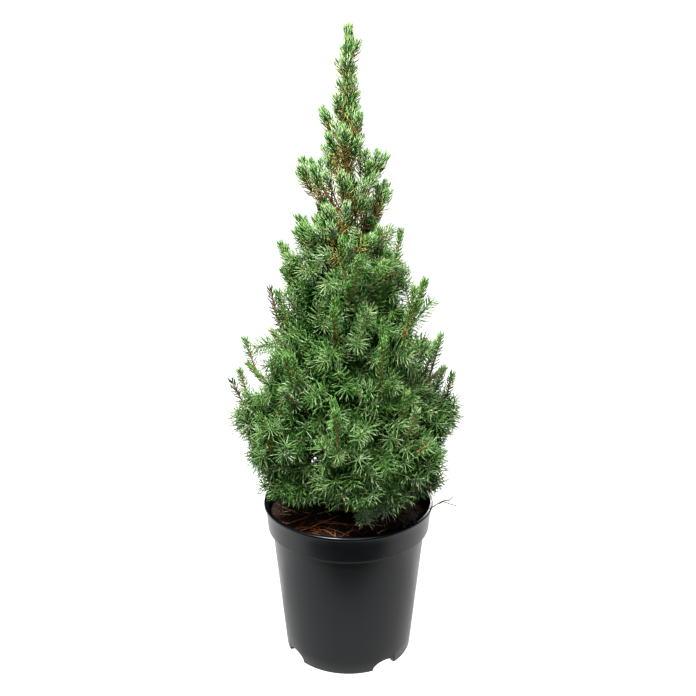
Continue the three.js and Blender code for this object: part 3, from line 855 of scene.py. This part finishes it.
# Materials: two colours, rate of grain, roughness, strength and depth of relief, shine, and blend
GRAIN_DETAIL = 6
BLEND = 0.18
NEEDLE_FINISH = (130, (0.4, 0.55), (0.1, 0.2 * MM), 0.18, 0.1)
NEEDLE_COLOURS = {
    # Painted shade: the dark green of needles inside the plant and near the base of spreading shoots
    "needles_painted_shade": ((8, 42, 0), (28, 68, 12)),
    "needles_mid": ((52, 95, 32), (102, 136, 75)),
    "needles_soft": ((81, 117, 63), (138, 157, 112)),
    "needles_blue": ((108, 138, 97), (160, 176, 143)),
    "needles_olive": ((108, 106, 46), (160, 152, 92)),
}
FINISHES = {
    "pot_plastic": ((5, 9, 13), (10, 14, 18), 40, (0.26, 0.36), (0.03, 0.3 * MM), 0.5),
    "peat": ((15, 10, 8), (56, 40, 31), 260, (0.85, 1.0), (1.0, 2 * MM), 0.2),
    "chips": ((30, 20, 14), (112, 84, 60), 120, (0.8, 1.0), (0.5, 0.5 * MM), 0.2),
    "root_skin": ((104, 64, 34), (158, 104, 62), 200, (0.7, 0.9), (0.4, 0.3 * MM), 0.25),
    "straw": ((136, 108, 74), (186, 156, 116), 240, (0.6, 0.8), (0.3, 0.3 * MM), 0.3),
    "trunk_bark": ((108, 74, 48), (164, 120, 84), 90, (0.75, 0.95), (0.6, 1 * MM), 0.25),
    "bough_bark": ((112, 74, 46), (156, 110, 74), 140, (0.7, 0.9), (0.5, 0.6 * MM), 0.25),
    "young_bark": ((110, 77, 48), (150, 110, 75), 220, (0.6, 0.8), (0.4, 0.4 * MM), 0.3),
    # Bark of the spreading twigs: older, darker bark, darkened further by painted shade
    "shaded_bark": ((36, 30, 15), (64, 50, 28), 220, (0.6, 0.8), (0.4, 0.4 * MM), 0.3),
    "bud_scales": ((96, 74, 48), (136, 108, 72), 500, (0.5, 0.7), (0.3, 0.2 * MM), 0.4),
    **{name: (*colours, *NEEDLE_FINISH) for name, colours in NEEDLE_COLOURS.items()},
}


def srgb(colour):
    """A colour on the scale from 0 to 255 as linear light."""
    values = np.array(colour) / 255
    linear = np.where(values <= 0.04045, values / 12.92, ((values + 0.055) / 1.055) ** 2.4)
    return (*linear, 1.0)


def set_inputs(node, values):
    for name, value in values.items():
        node.inputs[name].default_value = value


def mottled(name, dark, light, rate, roughness, bump, specular, blend=BLEND):
    """A surface of two colours mixed by a fine grain, with a bump of the same grain."""
    material = bpy.data.materials.new(name)
    material.use_nodes = True
    nodes = material.node_tree.nodes
    shader = nodes["Principled BSDF"]
    place = nodes.new("ShaderNodeTexCoord")
    grain = nodes.new("ShaderNodeTexNoise")
    ramp = nodes.new("ShaderNodeValToRGB")
    shine = nodes.new("ShaderNodeMapRange")
    relief = nodes.new("ShaderNodeBump")
    set_inputs(grain, {"Scale": rate, "Detail": GRAIN_DETAIL})
    set_inputs(shine, {"To Min": roughness[0], "To Max": roughness[1]})
    set_inputs(relief, {"Strength": bump[0], "Distance": bump[1]})
    set_inputs(shader, {"Specular IOR Level": specular})
    first, last = ramp.color_ramp.elements
    first.position, first.color = 0.5 - blend, srgb(dark)
    last.position, last.color = 0.5 + blend, srgb(light)
    for source, output, target, socket in (
        (place, "Object", grain, "Vector"),
        (grain, "Fac", ramp, "Fac"),
        (ramp, "Color", shader, "Base Color"),
        (grain, "Fac", shine, "Value"),
        (shine, "Result", shader, "Roughness"),
        (grain, "Fac", relief, "Height"),
        (relief, "Normal", shader, "Normal"),
    ):
        material.node_tree.links.new(source.outputs[output], target.inputs[socket])
    return material


@cache
def finished(name):
    return mottled(name, *FINISHES[name])


# How colours are dealt out, by shoot and by place along it
OWN_COLOUR = 0.45
# Shoots that end deep inside the plant get the dark green of painted shade, with fewer needles; the older
# needles near the base of spreading shoots get it too
PAINTED_SHADE_DENSITY = 0.6
INNER_DEPTH = (0.4, 0.8)
OLD_NEEDLES = 0.55
SHADED_NEEDLES = 0.4
STANDING = 0.5


def pick(rng, weights, count=None):
    return rng.choice(list(weights), count, p=list(weights.values()))


def deal_colours(shoots, rng):
    """Which colour of needle each shoot has: a dark green of painted shade deep inside the plant, and mixed
    greens outside.
    """
    dealt = []
    for shoot in shoots:
        tip = shoot.line[2]
        depth = radius_of(tip) / max(body_at(tip), TOP_RADIUS)
        outside = STANDING_COLOURS if shoot.stance > STANDING else SPREADING_COLOURS
        colour = pick(rng, shoot.colours or outside)
        # Painted shade on shoots that end deep inside the plant
        if depth < rng.uniform(*INNER_DEPTH) and shoot.stance < STANDING and shoot.colours is None:
            colour = PAINTED_SHADE
        dealt.append(colour)
    return np.array(dealt)


def make_needles(shoots, replaced):
    rng = np.random.default_rng(SEED)
    dealt = deal_colours(shoots, rng)
    for shoot, colour in zip(shoots, dealt):
        shoot.density *= PAINTED_SHADE_DENSITY if colour == PAINTED_SHADE else 1
    needles, owner, grown = needle_arrays(shoots, rng)
    colour = dealt[owner]
    mixed = pick(rng, SPREADING_COLOURS, len(owner))
    standing = values_of(shoots, "stance")[owner] > STANDING
    plain = np.array([shoot.colours is None for shoot in shoots])[owner]
    colour = np.where(plain & (colour != PAINTED_SHADE) & (rng.random(len(owner)) > OWN_COLOUR), mixed, colour)
    colour = np.where(plain & standing & (grown < OLD_NEEDLES), OLIVE, colour)
    # Painted shade on the older needles near the base of each spreading shoot
    colour = np.where(plain & ~standing & (grown < SHADED_NEEDLES), PAINTED_SHADE, colour)
    for index, name in enumerate(NEEDLE_COLOURS):
        chosen = needles[colour == index] + UP * TREE_FOOT
        parts = ceil(len(chosen) / NEEDLES_A_PIECE)
        for number, part in enumerate(np.array_split(chosen, parts), start=1):
            faces = repeat_faces(NEEDLE_FACES, NEEDLE_VERTICES, len(part))
            add_piece(f"{name}_{number}", (part.reshape(-1, 3), faces), name, replaced)


# Twigs and buds
TWIG_SIDES = 4
TWIG_STEPS = 3
TWIG_TAPER = (1.25, 0.8)
YOUNG_STANCE = 0.3
BUD_SIDES = 5
BUD_LENGTH = 2.8 * MM
BUD_RADIUS = 1.1 * MM
BUD_SHARE = 0.07
BUD_SHAPE = (0.75, 1.0, 0.3)


def make_twigs(shoots):
    twigs = [shoot for shoot in shoots if shoot.order > 0]
    # Twigs of standing shoots get young orange bark; the others get shaded_bark, an older darker bark
    # darkened further by painted shade
    for name, young in (("young_bark", True), ("shaded_bark", False)):
        chosen = [twig for twig in twigs if (twig.stance > YOUNG_STANCE) == young]
        points = sampled(values_of(chosen, "line") + UP * TREE_FOOT, TWIG_STEPS)
        radii = values_of(chosen, "radius")[:, None] * np.linspace(*TWIG_TAPER, TWIG_STEPS + 1)
        add_piece(f"twigs_{name}", tubes_along(points, radii, TWIG_SIDES), name)


def make_buds(shoots):
    rng = np.random.default_rng(SEED)
    chosen = [shoot for shoot in shoots if rng.random() < BUD_SHARE]
    lines = values_of(chosen, "line") + UP * TREE_FOOT
    root = lines[:, 2]
    tip = root + tangent_on(lines, 1.0) * BUD_LENGTH
    points = np.stack([root, (root + tip) / 2, tip], 1)
    radii = np.tile(np.array(BUD_SHAPE) * BUD_RADIUS, (len(points), 1))
    add_piece("buds", tubes_along(points, radii, BUD_SIDES), "bud_scales")


# Bark: rates of its scales and of its grain, and the share that each has of the relief
SCALE_RATES = np.array([420, 420, 150])
GRAIN_RATES = np.array([1100, 1100, 500])
SCALE_SHARE = 0.7
GRAIN_SHARE = 0.3
BARK_RELIEF = 0.5 * MM
BARK_SIDES = 28
BARK_STEPS = 240
BOUGH_RELIEF = 0.35 * MM
BOUGH_SIDES = 10
BOUGH_STEPS = 26


def bark_relief(point):
    """How far the scaly bark stands out at a point."""
    scales = noise.noise(point * SCALE_RATES)
    grain = noise.noise(point * GRAIN_RATES)
    return SCALE_SHARE * abs(scales) + GRAIN_SHARE * grain


def relieved(rings, centres, amount):
    """Rings moved out from their centres by the relief of the bark."""
    relief = np.array([bark_relief(point) for point in rings.reshape(-1, 3)])
    outward = unit(rings - centres[..., None, :])
    return rings + outward * relief.reshape(*rings.shape[:-1], 1) * amount


def make_trunk():
    heights = np.linspace(0, TRUNK_HEIGHT, BARK_STEPS + 1)
    centres = np.array([[trunk_point(height) for height in heights]])
    angles = round_angles(BARK_SIDES)
    around = np.stack([np.cos(angles), np.sin(angles), np.zeros(BARK_SIDES)], -1)
    radii = trunk_radius_at(heights)[None, :, None, None]
    rings = relieved(centres[:, :, None] + around * radii, centres, BARK_RELIEF)
    vertices, faces = close_tubes(rings, centres[:, [0, -1]])
    add_piece("trunk_bark", (vertices + UP * TREE_FOOT, faces), "trunk_bark", ["trunk"])


def make_boughs(axes, shares, replaced):
    points = sampled(axes, BOUGH_STEPS)
    root_radius = lerp(*BOUGH_ROOT_RADIUS, shares)[:, None]
    radii = lerp(root_radius, BOUGH_TIP_RADIUS, np.linspace(0, 1, BOUGH_STEPS + 1))
    rings = tube_rings(points, radii, BOUGH_SIDES)
    vertices, faces = close_tubes(relieved(rings, points, BOUGH_RELIEF), points[:, [0, -1]])
    add_piece("bough_bark", (vertices + UP * TREE_FOOT, faces), "bough_bark", replaced)


# Pot
def notch_lift(azimuth):
    """Height of the arched notch in the foot at an azimuth, or nothing between notches."""
    offset = (azimuth - NOTCH_FIRST_AZIMUTH + NOTCH_STEP / 2) % NOTCH_STEP - NOTCH_STEP / 2
    share = offset * FOOT_RADIUS / (NOTCH_WIDTH / 2)
    return NOTCH_HEIGHT * sqrt(max(0.0, 1 - share * share))


def pot_azimuths():
    """Columns of the pot, close together at the ends of each notch."""
    half = NOTCH_WIDTH / 2 / FOOT_RADIUS
    azimuths = []
    for number in range(NOTCH_COUNT):
        centre = NOTCH_FIRST_AZIMUTH + number * NOTCH_STEP
        inside = [centre - half * cos(pi * k / NOTCH_COLUMNS) for k in range(NOTCH_COLUMNS + 1)]
        between = np.linspace(centre + half, centre + NOTCH_STEP - half, BETWEEN_COLUMNS + 1)[1:-1]
        azimuths.extend([*inside, *between])
    return np.array(azimuths)


def arc(centre, radius, start, end, steps):
    angles = np.radians(np.linspace(start, end, steps + 1))
    return [(centre[0] + radius * cos(a), centre[1] + radius * sin(a)) for a in angles]


def wall_radius_at(height):
    return lerp(FOOT_RADIUS, WALL_TOP_RADIUS, height / STEP_FOOT)


def pot_profile():
    """Radius and height of the pot's skin, from the middle of its underside to that of its floor."""
    ring_inside = FOOT_RADIUS - FOOT_RING_WIDTH
    foot = [
        (0, BASE_RECESS),
        (ring_inside / 2, BASE_RECESS),
        (ring_inside, BASE_RECESS),
        (ring_inside, 0),
        (FOOT_RADIUS - FOOT_BEVEL, 0),
        (FOOT_RADIUS, FOOT_BEVEL),
    ]
    wall_heights = np.linspace(NOTCH_BLEND, STEP_FOOT - EDGE_MARGIN, WALL_ROWS)
    wall = [(wall_radius_at(height), height) for height in wall_heights]
    step_round = arc((COLLAR_FOOT_RADIUS - COLLAR_ROUND, COLLAR_FOOT), COLLAR_ROUND, *COLLAR_ARC)
    collar = [
        (lerp(COLLAR_FOOT_RADIUS, COLLAR_TOP_RADIUS, share), lerp(COLLAR_FOOT, LIP_FOOT, share))
        for share in COLLAR_SHARES
    ]
    lip_radius = RIM_RADIUS - LIP_ROUND
    lip = [
        (COLLAR_TOP_RADIUS + LIP_STEP, LIP_FOOT),
        *arc((lip_radius, LIP_FOOT + LIP_ROUND), LIP_ROUND, *LIP_FOOT_ARC),
        *arc((lip_radius, POT_HEIGHT - LIP_ROUND), LIP_ROUND, *LIP_TOP_ARC),
    ]
    inner = RIM_RADIUS - 2 * POT_WALL
    inside = [
        *arc((inner + LIP_ROUND / 2, POT_HEIGHT - LIP_ROUND / 2), LIP_ROUND / 2, *LIP_INSIDE_ARC),
        (COLLAR_TOP_RADIUS - POT_WALL, LIP_FOOT),
        (COLLAR_FOOT_RADIUS - POT_WALL, COLLAR_FOOT),
        (WALL_TOP_RADIUS - POT_WALL, STEP_FOOT),
        (wall_radius_at(POT_FLOOR) - POT_WALL, POT_FLOOR),
        (0, POT_FLOOR),
    ]
    return [*foot, *wall, *step_round, *collar, *lip, *inside]


def turned_rings(profile, azimuths):
    """Rings and end points of a piece turned from a profile that starts and ends on the axis."""
    profile = np.array(profile)
    radius, height = profile[1:-1, 0, None], profile[1:-1, 1, None]
    rings = np.stack(np.broadcast_arrays(radius * np.cos(azimuths), radius * np.sin(azimuths), height), -1)
    ends = np.array([[[0, 0, profile[0, 1]], [0, 0, profile[-1, 1]]]])
    return rings[None], ends


def make_pot():
    azimuths = pot_azimuths()
    rings, ends = turned_rings(pot_profile(), azimuths)
    lift = np.array([notch_lift(azimuth) for azimuth in azimuths])
    height = rings[..., 2]
    radius = np.hypot(rings[..., 0], rings[..., 1])
    on_ring = radius > FOOT_RADIUS - FOOT_RING_WIDTH - EDGE_MARGIN
    on_foot = on_ring & (height < BASE_RECESS - EDGE_MARGIN)
    raised = lift + height * (NOTCH_BLEND - lift) / NOTCH_BLEND
    rings[..., 2] = np.where(on_foot, raised, height)
    piece = add_piece("pot_shell", close_tubes(rings, ends), "pot_plastic", ["pot"])
    piece.data.set_sharp_from_angle(angle=CREASE_ANGLE)


# Soil
def soil_height(x, y):
    """Height of the soil's lumpy surface."""
    radius = np.hypot(x, y)
    lump = sum(size * noise.noise((x * rate, y * rate, rate)) for size, rate in SOIL_LUMPS)
    seat = smooth_step(radius / SEAT_RADIUS - SEAT_FLAT)
    return SOIL_TOP - SOIL_EDGE_DROP * (radius / SOIL_RADIUS) ** 2 + lump * seat


def make_soil():
    bottom = POT_FLOOR + SOIL_GAP
    side = [
        (0, bottom),
        (wall_radius_at(bottom) - POT_WALL - 2 * SOIL_GAP, bottom),
        (WALL_TOP_RADIUS - POT_WALL - 2 * SOIL_GAP, STEP_FOOT),
        (SOIL_RADIUS - SOIL_GAP, COLLAR_FOOT + SOIL_GAP),
    ]
    surface = [(SOIL_RADIUS * share, SOIL_TOP) for share in np.linspace(1, 0, SOIL_RINGS + 1)]
    rings, ends = turned_rings([*side, *surface], round_angles(SOIL_COLUMNS))
    for point in rings[0, len(side) - 1:].reshape(-1, 3):
        point[2] = soil_height(point[0], point[1])
    add_piece("soil_bed", close_tubes(rings, ends), "peat", ["soil"])


# Litter on the soil: thin roots at the front, straws, chips, and one forked root over the rim
LITTER_RADIUS = 84 * MM
LITTER_SEED = 7
ROOT_COUNT = 15
ROOT_STEPS = 10
ROOT_SIDES = 5
ROOT_MIDDLE = (-17 * MM, -57 * MM)
ROOT_SPREAD = (30 * MM, 13 * MM)
ROOT_LENGTH = (30 * MM, 85 * MM)
ROOT_RADIUS = (0.4 * MM, 0.8 * MM)
ROOT_HEADING = radians(32)
ROOT_CURL = radians(70)
ROOT_ARCH = 4 * MM
ROOT_TAPER = (1, 0.6)
STRAW_COUNT = 40
STRAW_LENGTH = (6 * MM, 17 * MM)
STRAW_RADIUS = 0.4 * MM
STRAW_TILT = 0.25
CHIP_COUNT = 420
CHIP_SIZE = (0.7 * MM, 2.2 * MM)
CHIP_FLATNESS = (1.0, 0.65, 0.45)
CHIP_JITTER = (0.7, 1.3)
CHIP_CORNERS = np.array([[1, 0, 0], [0, 1, 0], [-1, 0, 0], [0, -1, 0], [0, 0, 1], [0, 0, -1]])
CHIP_FACES = np.array([
    [0, 1, 4], [1, 2, 4], [2, 3, 4], [3, 0, 4], [1, 0, 5], [2, 1, 5], [3, 2, 5], [0, 3, 5],
])
STRAY_ROOTS = np.array([
    [[74, -22, 161], [90, -26, 178], [102, -31, 189], [117, -36, 186]],
    [[99, -30, 186], [105, -31, 190], [110, -31, 190], [115, -29, 195]],
]) * MM
STRAY_RADIUS = 0.85 * MM
STRAY_TAPER = (1, 0.5)


def on_soil(place, lift):
    """A place on the soil's surface, kept inside the pot."""
    inside = np.array(place) * min(1, LITTER_RADIUS / hypot(*place))
    return np.array([*inside, soil_height(*inside) + lift])


def root_line(rng):
    """A thin root that wanders over the soil."""
    heading = rng.uniform(-ROOT_HEADING, ROOT_HEADING)
    curl = rng.uniform(-ROOT_CURL, ROOT_CURL)
    length = rng.uniform(*ROOT_LENGTH)
    arch = rng.uniform(0, ROOT_ARCH)
    middle = np.array(ROOT_MIDDLE) + rng.normal(0, 1, 2) * ROOT_SPREAD
    place = middle - length / 2 * polar(1, heading, 0)[:2]
    points = []
    for step in range(ROOT_STEPS + 1):
        points.append(on_soil(place, arch * sin(pi * step / ROOT_STEPS)))
        heading += curl / ROOT_STEPS
        place = place + length / ROOT_STEPS * polar(1, heading, 0)[:2]
    return points


def scattered_place(rng):
    radius = LITTER_RADIUS * sqrt(rng.random())
    return polar(radius, rng.uniform(0, tau), 0)[:2]


def straw_line(rng):
    heading = polar(1, rng.uniform(0, tau), rng.uniform(0, STRAW_TILT))
    start = on_soil(scattered_place(rng), STRAW_RADIUS)
    return [start, start + heading * rng.uniform(*STRAW_LENGTH)]


def chip_corners(rng):
    """A flat shard of bark or wood on the soil."""
    size = rng.uniform(*CHIP_SIZE)
    corners = CHIP_CORNERS * CHIP_FLATNESS * size * rng.uniform(*CHIP_JITTER, (len(CHIP_CORNERS), 1))
    turn = rng.uniform(0, tau)
    turned = np.array([[cos(turn), -sin(turn), 0], [sin(turn), cos(turn), 0], [0, 0, 1]])
    return corners @ turned.T + on_soil(scattered_place(rng), 0)


def make_litter():
    rng = np.random.default_rng(LITTER_SEED)
    roots = np.array([root_line(rng) for _ in range(ROOT_COUNT)])
    radii = rng.uniform(*ROOT_RADIUS, (ROOT_COUNT, 1)) * np.linspace(*ROOT_TAPER, ROOT_STEPS + 1)
    add_piece("soil_roots", tubes_along(roots, radii, ROOT_SIDES), "root_skin")
    taper = np.linspace(*STRAY_TAPER, STRAY_ROOTS.shape[1])
    stray_radii = np.tile(STRAY_RADIUS * taper, (len(STRAY_ROOTS), 1))
    add_piece("stray_root", tubes_along(STRAY_ROOTS, stray_radii, ROOT_SIDES), "root_skin")
    straws = np.array([straw_line(rng) for _ in range(STRAW_COUNT)])
    straw_radii = np.full((STRAW_COUNT, 2), STRAW_RADIUS)
    add_piece("soil_straws", tubes_along(straws, straw_radii, ROOT_SIDES), "straw")
    chips = np.array([chip_corners(rng) for _ in range(CHIP_COUNT)])
    faces = repeat_faces(CHIP_FACES, len(CHIP_CORNERS), CHIP_COUNT)
    add_piece("soil_chips", (chips.reshape(-1, 3), faces), "chips")


# Stage, light and camera
CAMERA_PLACE = (-0.0005, -0.8629, 0.5919)
CAMERA_PITCH = 0.269
LENS = 43.07
SENSOR = 36
WHITE = (1, 1, 1, 1)
FLOOR_HALF = 4.0
FLOOR_BASE = 0.1
FLOOR_GLOW = 1.02
CARD_BASE = 0.01
CARD_HEIGHT = 1 * MM
# Cards seen only in reflections: a black one that paints a dark reflection in the pot's collar, and a
# glowing grey one that paints a light reflection on the pot
DARK_REFLECTION_CARD = (-3.0, -2.5, 3.0, -0.21)
GREY_REFLECTION_CARD = (-0.24, -0.21, 0.24, 0.06)
GREY_REFLECTION_GLOW = 0.9
STAGE_ROUGHNESS = 0.9
WORLD_GLOW = 1.0

# Lights: place, size and power
LIGHT_AIM = (0, 0, 0.4)
LIGHTS = {
    "key_light": ((-0.7, -1.15, 2.3), 0.45, 134),
    "fill_light": ((0.5, -1.7, 1.0), 0.8, 13),
    "back_light": ((0.5, 1.8, 1.3), 1.0, 32),
    "top_light": ((0.1, -0.2, 2.3), 0.5, 54),
}


def add_stage(name, corners, height, base, glow):
    """A flat piece of the studio, between two corners."""
    left, near, right, far = corners
    mesh = bpy.data.meshes.new(name)
    outline = [(left, near, height), (right, near, height), (right, far, height), (left, far, height)]
    mesh.from_pydata(outline, [], [(0, 1, 2, 3)])
    finish = bpy.data.materials.new(name)
    finish.use_nodes = True
    set_inputs(finish.node_tree.nodes["Principled BSDF"], {
        "Base Color": (base, base, base, 1),
        "Roughness": STAGE_ROUGHNESS,
        "Specular IOR Level": 0,
        "Emission Color": WHITE,
        "Emission Strength": glow,
    })
    mesh.materials.append(finish)
    piece = add_object(name, mesh)
    return piece


def make_stage():
    corners = (-FLOOR_HALF, -FLOOR_HALF, FLOOR_HALF, FLOOR_HALF)
    floor = add_stage("floor", corners, 0, FLOOR_BASE, FLOOR_GLOW)
    floor.visible_diffuse = False
    # The two cards are seen only in reflections: a painted dark reflection and a painted light reflection on
    # the pot
    for name, corners, glow in (("dark_reflection_card", DARK_REFLECTION_CARD, 0), ("grey_reflection_card", GREY_REFLECTION_CARD, GREY_REFLECTION_GLOW)):
        card = add_stage(name, corners, CARD_HEIGHT, CARD_BASE, glow)
        card.visible_camera = False
        card.visible_diffuse = False
        card.visible_shadow = False


def make_light():
    world = bpy.data.worlds.new("studio")
    world.use_nodes = True
    set_inputs(world.node_tree.nodes["Background"], {"Color": WHITE, "Strength": WORLD_GLOW})
    scene.world = world
    world.cycles_visibility.diffuse = False
    world.cycles_visibility.glossy = False
    for name, (place, size, power) in LIGHTS.items():
        light = bpy.data.lights.new(name, "AREA")
        light.shape = "DISK"
        light.size = size
        light.energy = power
        lamp = add_object(name, light)
        lamp.location = place
        lamp.rotation_euler = (Vector(place) - Vector(LIGHT_AIM)).to_track_quat("Z", "Y").to_euler()


def make_camera():
    data = bpy.data.cameras.new("camera")
    data.lens = LENS
    data.sensor_width = SENSOR
    camera = add_object("camera", data)
    camera.location = CAMERA_PLACE
    camera.rotation_euler = (pi / 2 - CAMERA_PITCH, 0, 0)
    bpy.context.scene.camera = camera
    scene.view_settings.view_transform = "Standard"
    scene.view_settings.look = "Medium High Contrast"


make_camera()
make_stage()
make_light()
axes, shares, shoots = grow_tree()
foliage_nodes = [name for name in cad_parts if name.startswith(("foliage", "leader"))]
limb_nodes = [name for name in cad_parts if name.startswith("bough")]
make_pot()
make_soil()
make_litter()
make_trunk()
make_boughs(axes, shares, limb_nodes)
make_twigs(shoots)
make_buds(shoots)
make_needles(shoots, foliage_nodes)
